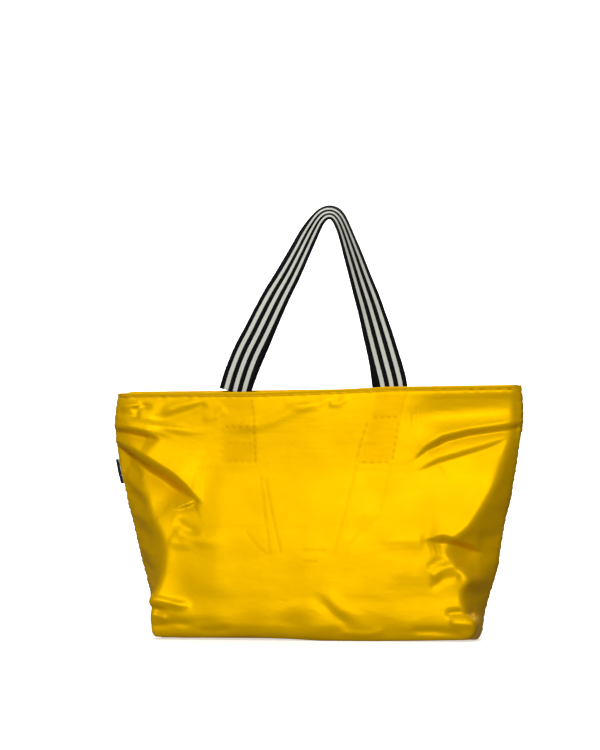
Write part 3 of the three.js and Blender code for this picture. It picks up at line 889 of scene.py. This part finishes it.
def layer(name, cloth, xs, zs, inset, thickness):
    """A thin layer that lies along the inside of a cloth; xs and zs hold the grid's places."""
    rows, columns = xs.shape
    outer = np.array([cloth.at(x, z, inset) for x, z in zip(xs.ravel(), zs.ravel())])
    inner = outer - [0, cloth.side * thickness, 0]
    index = np.arange(rows * columns).reshape(rows, columns)
    other = index + rows * columns
    loop = np.concatenate([index[0, :-1], index[:-1, -1], index[-1, :0:-1], index[:0:-1, 0]])
    partner = loop + rows * columns
    rim = np.stack([loop, np.roll(loop, -1), np.roll(partner, -1), partner], axis=1)
    faces = np.concatenate([quads(index), quads(other)[:, ::-1], rim])
    uvs = np.stack([zs.ravel(), xs.ravel() - xs.mean()], axis=1)
    return outwards(mesh_object(name, np.concatenate([outer, inner]), faces, np.concatenate([uvs, uvs])))


def band_grid(top, bottom, half, high, low, rows, columns):
    """Grid places of a straight band from (top, high) to (bottom, low)."""
    t = np.linspace(0, 1, rows)[:, None]
    a = np.linspace(-half, half, columns)[None]
    return top + (bottom - top) * t + a, high + (low - high) * t + 0 * a


def add_hem(cloth, word):
    """The turned rim: a short flange outside, over the top and down inside, and its row of stitches."""
    out, deep, nose = 0.00032, 0.0016, 0.0009
    section = [(-0.0052, -0.0002), (-0.003, out), (-0.0006, out)]
    section += [
        (nose * math.sin(a) - 0.0004, 0.5 * (out - deep) + 0.5 * (out + deep) * math.cos(a))
        for a in np.linspace(0.3, math.pi - 0.3, 5)
    ]
    section += [(-0.0006, -deep), (-HEM_DEPTH, -deep)]
    section += [(-HEM_DEPTH, -deep + 0.0008), (-0.0052, -deep + 0.0009)]
    xs = np.linspace(-0.2415, 0.2425, 190)
    rim = [cloth.at(x, cloth.rim(x)) for x in xs]
    hem = swept(f"{word}_hem", rim, UP, cloth.side * BACK, section)
    places = mesh_points(hem)
    tucked = smooth_step((RIM_Z - 0.006 - places[:, 2]) / 0.008)
    tucked *= smooth_step((np.abs(places[:, 0]) - 0.215) / 0.02)
    places[:, 1] *= 1 - 0.35 * tucked
    set_mesh_points(hem, places)
    finish_piece(hem, "nylon", nodes=[f"{word}_rim_hem"])
    stitches = [
        [cloth.at(a, cloth.rim(a) - 0.0047, -0.0005) for a in (x, x + 0.0024)]
        for x in np.arange(-0.239, 0.240, 0.0034)
    ]
    finish_piece(thread_run(f"{word}_hem_stitches", stitches, 0.00028), "thread")


def thread_run(name, stitches, radius):
    """Short stitches, each a small arched bar of thread between two points."""
    points, faces, uvs = [], [], []
    for start, end in stitches:
        way = (end - start).normalized()
        side = way.cross(Vector((0, 0, 1)))
        side = side.normalized() if side.length > 0.1 else Vector((1, 0, 0))
        up = way.cross(side)
        base = len(points)
        for k, t in enumerate((0.0, 0.15, 0.5, 0.85, 1.0)):
            fat = radius * (0.35, 0.9, 1.0, 0.9, 0.35)[k]
            middle = start.lerp(end, t)
            for a in turn(6):
                points.append(middle + fat * math.cos(a) * side + fat * math.sin(a) * up)
                uvs.append((t * (end - start).length, fat * a))
        ring = np.arange(5 * 6).reshape(5, 6) + base
        faces += quads(np.concatenate([ring, ring[:, :1]], axis=1)).tolist()
        faces += [ring[0].tolist(), ring[-1][::-1].tolist()]
    return outwards(mesh_object(name, np.array([tuple(p) for p in points]), faces, uvs))


TAILS = {"left": (-0.0930, -0.0860), "right": (0.0910, 0.0735)}
STITCH_ROWS = (0.211, 0.233, 0.254)


def add_tails(cloth, word):
    """Both strap tails inside a panel, with the rows and sides of their stitches."""
    for side_word, (top, bottom) in TAILS.items():
        xs, zs = band_grid(top, bottom, 0.5 * STRAP_WIDTH, RIM_Z - 0.004, 0.200, 40, 16)
        tail = layer(f"{word}_{side_word}_tail", cloth, xs, zs, 0.0024, 0.0014)
        finish_piece(tail, "webbing", nodes=[f"{word}_{side_word}_strap_tail"])
        half = 0.5 * STRAP_WIDTH - 0.0025
        middles = {z: np.interp(z, [0.200, RIM_Z], [bottom, top]) for z in STITCH_ROWS}
        runs = [[(x - half, z), (x + half, z)] for z, x in middles.items()]
        for way in (-1, 1):
            runs.append([(middles[z] + way * half, z) for z in (STITCH_ROWS[0], STITCH_ROWS[-1])])
        stitches = []
        for run in runs:
            count = int(math.dist(run[0], run[1]) / 0.0030)
            line = resampled(np.array(run), 2 * count)
            for a, b in zip(line[:-1:2], line[1::2]):
                stitches.append([cloth.at(*a, 0.0041), cloth.at(*b, 0.0041)])
        threads = thread_run(f"{word}_{side_word}_tail_stitches", stitches, 0.0003)
        finish_piece(threads, "thread", nodes=[f"{word}_{side_word}_strap_stitching"])


POUCH_TOP, POUCH_BOTTOM = 0.284, 0.092


def pouch_half(z):
    """Half the pouch's width at height z: straight, then tapering to a round bottom."""
    taper = np.interp(z, [0.126, 0.188], [0.052, 0.088])
    round_part = 0.020 + 0.034 * np.sqrt(np.clip(1 - ((0.126 - np.minimum(z, 0.126)) / 0.034) ** 2, 0, 1))
    return np.where(z < 0.126, np.minimum(round_part, 0.052), taper)


def pouch_grid(high, low, near, far, rows, columns):
    zs = np.linspace(high, low, rows)[:, None] + np.zeros((1, columns))
    return pouch_half(zs) * np.linspace(near, far, columns)[None], zs


def add_pouch(cloth):
    """The stow pouch that hangs inside the front: body, hemmed top and bound edge."""
    xs, zs = pouch_grid(POUCH_TOP - 0.014, POUCH_BOTTOM + 0.003, -0.95, 0.95, 60, 50)
    body = layer("pouch_body", cloth, xs, zs, 0.0050, 0.0006)
    finish_piece(body, "nylon", "lining", ["stow_pouch"])
    xs, zs = pouch_grid(POUCH_TOP, POUCH_TOP - 0.0155, -0.95, 0.95, 7, 50)
    hem = layer("pouch_hem", cloth, xs, zs, 0.0047, 0.0012)
    finish_piece(hem, "binding", nodes=["stow_pouch_hem"])
    edge = [(-0.97 * float(pouch_half(z)), z) for z in np.linspace(POUCH_TOP, POUCH_BOTTOM + 0.002, 70)]
    edge += [(-x, z) for x, z in edge[::-1]]
    edge = resampled(np.array(edge), 150)
    places = [cloth.at(x, z, 0.0053) for x, z in edge]
    ways = np.gradient(edge, axis=0)
    acrosses = unit(np.stack([-ways[:, 1], 0 * ways[:, 0], ways[:, 0]], axis=1))
    binding = swept("pouch_binding", places, acrosses, cloth.side * BACK, band_section(0.007, 0.0022, 4))
    finish_piece(binding, "binding", nodes=["stow_pouch_binding"])


def add_seams(front):
    """Bound seam allowances inside the body: both sides, both boxed corners and the bottom."""
    side_tape, floor_tape = band_section(0.007, 0.0018, 5), band_section(0.009, 0.0018, 5)
    for way, word, seam in ((-1, "left", front.seam_left), (1, "right", front.seam_right)):
        line = resampled(seam[(0.006 < seam[:, 2]) & (seam[:, 2] < 0.283)], 90)
        places = line - [way * 0.0054, 0, 0]
        places[:, 1] += 0.0006 * np.sin(places[:, 2] / 0.006)
        tape = swept(f"{word}_seam_tape", places, way * RIGHT, BACK, side_tape)
        finish_piece(tape, "binding", nodes=[f"{word}_side_seam_binding"])
        ys = np.linspace(-0.046, 0.046, 40)
        places = [(way * 0.180, y, 0.0046 + 0.0006 * math.sin(y / 0.007)) for y in ys]
        tape = swept(f"{word}_corner_tape", places, way * RIGHT, UP, floor_tape)
        finish_piece(tape, "binding", nodes=[f"{word}_corner_seam_binding"])
    xs = np.linspace(-0.174, 0.174, 90)
    places = [(x, 0.0008 * math.sin(x / 0.02), 0.0046 + 0.0005 * math.sin(x / 0.009)) for x in xs]
    tape = swept("bottom_seam_tape", places, BACK, UP, floor_tape)
    finish_piece(tape, "binding", nodes=["bottom_seam_binding"])


# The front handle's middle line: x and z in metres, the strap's tilt in degrees, and how far the back
# handle stands inwards of the front one there, in millimetres.
HANDLE_LINE = np.array([
    [-0.0991, 0.2955, 0, -3.0], [-0.0930, 0.3165, 6, -1.0],
    [-0.0835, 0.3410, 12, 0.0], [-0.0722, 0.3630, 17, -1.0], [-0.0600, 0.3875, 21, -2.0],
    [-0.0472, 0.4120, 30, -3.0], [-0.0332, 0.4360, 40, -3.7], [-0.0199, 0.4610, 48, -4.0],
    [-0.0070, 0.4863, 54, -3.6], [0.0018, 0.5014, 60, -2.5], [0.0083, 0.5092, 59, -1.0],
    [0.0158, 0.5124, 58, 0.0], [0.0232, 0.5106, 59, 0.6], [0.0287, 0.5040, 61, 1.0],
    [0.0360, 0.4873, 60, 1.0], [0.0447, 0.4622, 53, 1.0], [0.0568, 0.4255, 42, 1.3],
    [0.0650, 0.4010, 33, 1.5], [0.0723, 0.3765, 25, 2.0], [0.0793, 0.3520, 16, 2.5],
    [0.0861, 0.3275, 8, 3.5], [0.0916, 0.3065, 2, 6.0], [0.0932, 0.2955, 0, 6.5],
])
HANDLE_Y = 0.0068
BACK_RISE = 0.0028
BACKWARDS = np.array([-0.173, 0.985, 0.0])


def smooth_line(rows, count):
    """Points on a smooth curve through the rows, evenly spaced."""
    slopes = np.gradient(rows, axis=0)
    t = np.linspace(0, len(rows) - 1, 600)
    i = np.minimum(t.astype(int), len(rows) - 2)
    s = (t - i)[:, None]
    curve = hermite(rows[i], rows[i + 1], slopes[i], slopes[i + 1], s)
    along = lengths_along(curve[:, :2])
    at = np.linspace(0, along[-1], count)
    return np.stack([np.interp(at, along, column) for column in curve.T], axis=1)


def add_handle(cloth, word):
    """A webbing handle, flat to the front at its legs and tilted at its top."""
    side = cloth.side
    rows = HANDLE_LINE.copy()
    share = np.clip((rows[:, 1] - RIM_Z) / (0.511 - RIM_Z), 0, 1)
    if side > 0:
        rows[:, 0] -= np.sign(rows[:, 0] - rows[rows[:, 1].argmax(), 0]) * rows[:, 3] / 1000
        rows[:, 1] += BACK_RISE * share
    line = smoothed(smooth_line(rows, 220), 10)
    places = np.stack([line[:, 0], np.full(len(line), side * HANDLE_Y), line[:, 1]], axis=1)
    lean = smooth_step((line[:, 1] - 0.32) / 0.15)
    places[:, 1] -= side * lean * (0.0008 if side < 0 else 0.0018)
    ways = ways_along(places)
    tilt = np.radians(line[:, 2])[:, None]
    flat = np.stack([-ways[:, 2], 0 * ways[:, 0], ways[:, 0]], axis=1)
    flat = unit(flat - (flat @ BACKWARDS)[:, None] * BACKWARDS)
    acrosses = flat * np.cos(tilt) + BACKWARDS * np.sin(tilt)
    normals = np.cross(ways, acrosses)
    # The strap's edges waver as woven tape does.
    section = np.repeat(band_section(STRAP_WIDTH, STRAP_THICK, 15)[None], len(places), axis=0)
    along = np.linspace(0, 1, len(places))
    section[:, :, 0] *= 1 + 0.006 * np.sin(along * 61)[:, None]
    handle = swept(f"{word}_strap", places, acrosses, normals, section)
    handle.data.materials.append(LOOKS["webbing"])
    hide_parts(f"{word}_handle")
    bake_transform(handle)


# --- Zip ---

TAPE_LOW, TAPE_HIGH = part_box("zip_front_tape")
ZIP_Z = 0.5 * (TAPE_LOW.z + TAPE_HIGH.z)
COIL_LEFT, COIL_RIGHT = (corner.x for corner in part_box("zip_front_coil"))
COIL_PITCH = 0.0016
COIL_RADIUS = 0.0010


def add_zip_half(side, word):
    """A tape that turns down to the hem, and a coil sewn along its inner edge."""
    xs = np.linspace(TAPE_LOW.x, TAPE_HIGH.x, 160)
    places = [(x, 0.0, ZIP_Z + 0.0002 * math.sin(x / 0.021)) for x in xs]
    thick = 0.0005
    top = [(0.0008, 0.0), (0.0030, 0.0), (0.0050, -0.0001), (0.0060, -0.0008), (0.0064, -0.0022)]
    top.append((0.0068, -0.0120))
    under = [(a - 0.0001 * k, n - thick) for k, (a, n) in enumerate(top[::-1])]
    tape = swept(f"zip_{word}_tape_weave", places, side * BACK, UP, top + under)
    finish_piece(tape, "zip_tape", nodes=[f"zip_{word}_tape"])
    turns = int((COIL_RIGHT - COIL_LEFT) / COIL_PITCH)
    angle = np.linspace(0, 2 * math.pi * turns, 9 * turns)
    phase = 0 if side < 0 else math.pi
    centre = np.stack([
        COIL_LEFT + COIL_PITCH * angle / (2 * math.pi) + (0.0008 if side > 0 else 0.0),
        side * (0.00075 + COIL_RADIUS * np.cos(angle + phase)),
        ZIP_Z + 0.0009 + 0.75 * COIL_RADIUS * np.sin(angle + phase),
    ], axis=1)
    coil = wire(f"zip_{word}_teeth", centre, RIGHT, 0.00034, 5)
    finish_piece(coil, "zip_coil", nodes=[f"zip_{word}_coil"])


def wire(name, line, pole, radius, count=10):
    """A round wire of count sides along a line of points, which bends away from the pole."""
    ways = ways_along(line)
    across = unit(np.cross(ways, pole))
    ring = [(radius * math.cos(a), radius * math.sin(a)) for a in turn(count)]
    return swept(name, line, across, np.cross(across, ways), ring)


def rounded_block(name, low, high, bevel, taper=0.0):
    """A block with rounded edges; taper narrows its +X end."""
    (x0, y0, z0), (x1, y1, z1) = low, high
    mid, half = 0.5 * (y0 + y1), 0.5 * (y1 - y0)
    far = half * (1 - taper)
    points = [
        (x0, mid - half, z0), (x1, mid - far, z0), (x1, mid + far, z0), (x0, mid + half, z0),
        (x0, mid - half, z1), (x1, mid - far, z1), (x1, mid + far, z1), (x0, mid + half, z1),
    ]
    faces = [(3, 2, 1, 0), (4, 5, 6, 7), (0, 1, 5, 4), (1, 2, 6, 5), (2, 3, 7, 6), (3, 0, 4, 7)]
    uvs = [(p[0], p[1]) for p in points]
    obj = mesh_object(name, points, faces, uvs)
    return apply_modifier(obj, "BEVEL", width=bevel, segments=3)


def joined(name, parts):
    """Several meshes as one object."""
    first = parts[0]
    chosen = {"selected_objects": parts, "selected_editable_objects": parts}
    with bpy.context.temp_override(active_object=first, object=first, **chosen):
        bpy.ops.object.join()
    first.name = name
    return first


def add_slider():
    """The slider: two flared plates on a post, an arch on top, and a pull hung from the arch."""
    low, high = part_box("zip_slider")
    plate = 0.0012
    top_z = ZIP_Z + 0.0017
    parts = [
        rounded_block(f"slider_plate_{z:.4f}", (low.x, low.y, z), (high.x, high.y, z + plate), 0.0005, 0.22)
        for z in (top_z, ZIP_Z - 0.0029)
    ]
    post_low, post_high = (low.x + 0.0006, -0.0012, ZIP_Z - 0.0020), (low.x + 0.003, 0.0012, top_z + 0.0003)
    parts.append(rounded_block("slider_post", post_low, post_high, 0.0003))
    middle = 0.5 * (low.x + high.x)
    arch_line = [
        (middle + 0.0034 * math.cos(a), 0.0, top_z + plate - 0.0003 + 0.0033 * math.sin(a))
        for a in np.linspace(math.pi, 0, 24)
    ]
    parts.append(wire("slider_arch", arch_line, BACK, 0.0006))
    finish_piece(joined("slider_body", parts), "metal", nodes=["zip_slider"], body="slider")
    low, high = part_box("zip_pull")
    z = 0.5 * (low.z + high.z)
    tab = pull_tab(low.x + 0.0075, high.x, z)
    angles = np.linspace(0, 2 * math.pi, 40)
    loop_line = [(low.x + 0.0051 + 0.0045 * math.cos(a), 0.0024 * math.sin(a), z) for a in angles]
    loop = wire("pull_loop", loop_line, RIGHT, 0.0005)
    finish_piece(joined("pull_body", [tab, loop]), "metal", nodes=["zip_pull"], body="pull")


def pull_tab(x0, x1, z):
    """A flat drop-shaped tab with a hole near its free end."""
    outline, inner = [], []
    length = x1 - x0
    for a in turn(48):
        along = 0.5 * (1 - math.cos(a))
        width = 0.0020 + 0.0011 * smooth_step(along * 1.4)
        outline.append((x0 + length * along, width * math.copysign(abs(math.sin(a)) ** 0.45, math.sin(a))))
        inner.append((x1 - 0.0042 - 0.0014 * math.cos(a), 0.0014 * math.sin(a)))
    loops = [[(x, y, z + h) for x, y in path] for h in (0.0005, -0.0005) for path in (outline, inner)]
    index = np.arange(4 * 48).reshape(4, 48)
    order = np.stack([index[0], index[1], index[3], index[2], index[0]])
    wrapped = np.concatenate([order, order[:, :1]], axis=1)
    points = [p for path in loops for p in path]
    obj = outwards(mesh_object("pull_tab", points, quads(wrapped), [(p[0], p[1]) for p in points]))
    return apply_modifier(obj, "BEVEL", width=0.0002, segments=2)


def add_zip_ends():
    """Stops at both ends of the coils, and a folded tab over each end of the tapes."""
    for word in ("zip_front_top_stop", "zip_back_top_stop", "zip_bottom_stop"):
        low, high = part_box(word)
        stop = rounded_block(f"{word}_clip", low, high, 0.0003)
        finish_piece(stop, "metal", nodes=[word])
    for word in ("left", "right"):
        low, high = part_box(f"zip_{word}_end_tab")
        low.y, high.y = 0.6 * low.y, 0.6 * high.y
        tab = rounded_block(f"zip_{word}_tab_cloth", low, high, 0.0007)
        apply_modifier(tab, "SUBSURF", levels=1, render_levels=1)
        finish_piece(tab, "nylon", nodes=[f"zip_{word}_end_tab"])


def add_label(front):
    """A small folded label in the left side seam, left blank."""
    low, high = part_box("side_label")
    places = [front.seam_point(z) for z in np.linspace(low.z, high.z, 16)]
    reach = 0.0026
    section = [(0.0010, 0.0), (-0.0020, 0.0004), (-reach, 0.0007), (-reach - 0.0005, 0.0)]
    section += [(-reach, -0.0007), (-0.0020, -0.0004)]
    label = swept("label_fold", places, RIGHT, BACK, section)
    finish_piece(label, "label_cloth", nodes=["side_label"])


# --- Build ---

shell = settled(lifted(shell_form()))
cloths = {}
for word, side in (("front", -1), ("back", 1)):
    piece = cloth_piece(f"{word}_cloth", shell, side)
    cloth = Cloth(piece, side)
    seams = [shell[WALL_INDEX[:, column]] for column in (0, HALF_LOOP)]
    cloth.seam_left, cloth.seam_right = (seam[::-1] for seam in seams)
    cloths[word] = cloth
    finish_piece(piece, "nylon", nodes=[f"{word}_panel"])
    add_hem(cloth, word)
    add_tails(cloth, word)
    add_handle(cloth, word)
    add_zip_half(side, word)
add_pouch(cloths["front"])
add_seams(cloths["front"])
add_slider()
add_zip_ends()
add_label(cloths["front"])


# --- Stage, light and camera ---

TARGET = Vector((-0.0199, 0.0, 0.316))
CAMERA_DISTANCE = 2.8
CAMERA_AZIMUTH = math.radians(10)
CAMERA_ELEVATION = math.radians(-4)
VIEW_HEIGHT = 0.905


def add_camera():
    data = bpy.data.cameras.new("camera")
    data.sensor_fit = "VERTICAL"
    data.sensor_height = 36
    data.lens = 36 * CAMERA_DISTANCE / VIEW_HEIGHT
    camera = bpy.data.objects.new("camera", data)
    bpy.context.scene.collection.objects.link(camera)
    way = Vector((
        math.sin(CAMERA_AZIMUTH) * math.cos(CAMERA_ELEVATION),
        -math.cos(CAMERA_AZIMUTH) * math.cos(CAMERA_ELEVATION),
        math.sin(CAMERA_ELEVATION),
    ))
    camera.location = TARGET + CAMERA_DISTANCE * way
    camera.rotation_euler = (-way).to_track_quat("-Z", "Y").to_euler()
    bpy.context.scene.camera = camera


def add_light(name, place, aim, size, power):
    data = bpy.data.lights.new(name, "AREA")
    data.shape = "RECTANGLE"
    data.size, data.size_y = size
    data.energy = power
    light = bpy.data.objects.new(name, data)
    light.visible_camera = False
    light.location = place
    light.rotation_euler = (Vector(aim) - Vector(place)).to_track_quat("-Z", "Y").to_euler()
    bpy.context.scene.collection.objects.link(light)


def add_stage():
    """A round pale floor that curves up into a wall, and doesn't light the bag."""
    rise = np.linspace(0.1, math.pi / 2, 14)
    curve = [(4.5 + 2.0 * math.sin(a), 2.0 - 2.0 * math.cos(a)) for a in rise]
    profile = [(0.4, 0.0), (4.5, 0.0), *curve, (6.5, 9.0)]
    points = [(r * math.sin(a), r * math.cos(a), z) for r, z in profile for a in turn(64)]
    index = np.arange(len(points)).reshape(len(profile), -1)
    faces = quads(np.concatenate([index, index[:, :1]], axis=1)).tolist() + [index[0].tolist()]
    floor = outwards(mesh_object("floor", points, faces))
    floor.data.materials.append(floor_material())
    floor.visible_diffuse = floor.visible_glossy = floor.visible_shadow = False


def add_world():
    """White light from all round, a little stronger from below."""
    world = bpy.data.worlds.new("studio")
    world.use_nodes = True
    tree = world.node_tree
    height = node(tree, "SeparateXYZ", {0: node(tree, "TexCoord", {}).outputs["Generated"]}).outputs[2]
    fade = {"Value": height, "From Min": -0.2, "From Max": 0.2, "To Min": 0.20, "To Max": 0.12}
    strength = node(tree, "MapRange", fade).outputs[0]
    fill(tree, tree.nodes["Background"], {"Color": (1, 1, 1, 1), "Strength": strength})
    bpy.context.scene.world = world


add_stage()
add_world()
add_light("key", (-0.1, -2.55, 1.72), (0, 0, 0.2), (0.8, 1.0), 46)
add_light("rear", (0.5, 2.6, 1.6), (0, 0, 0.2), (2.4, 1.4), 18)
add_light("top", (0, -0.5, 2.4), (0, -0.2, 0), (1.8, 1.4), 5)
add_light("backdrop_wash", (0.0, 3.0, 4.0), (0, 6.5, 0.5), (5.0, 1.6), 420)
add_light("floor_wash", (0.0, 2.8, 2.6), (0, 3.0, 0), (5.0, 2.0), 70)
add_camera()
bpy.context.scene.view_settings.view_transform = "Standard"
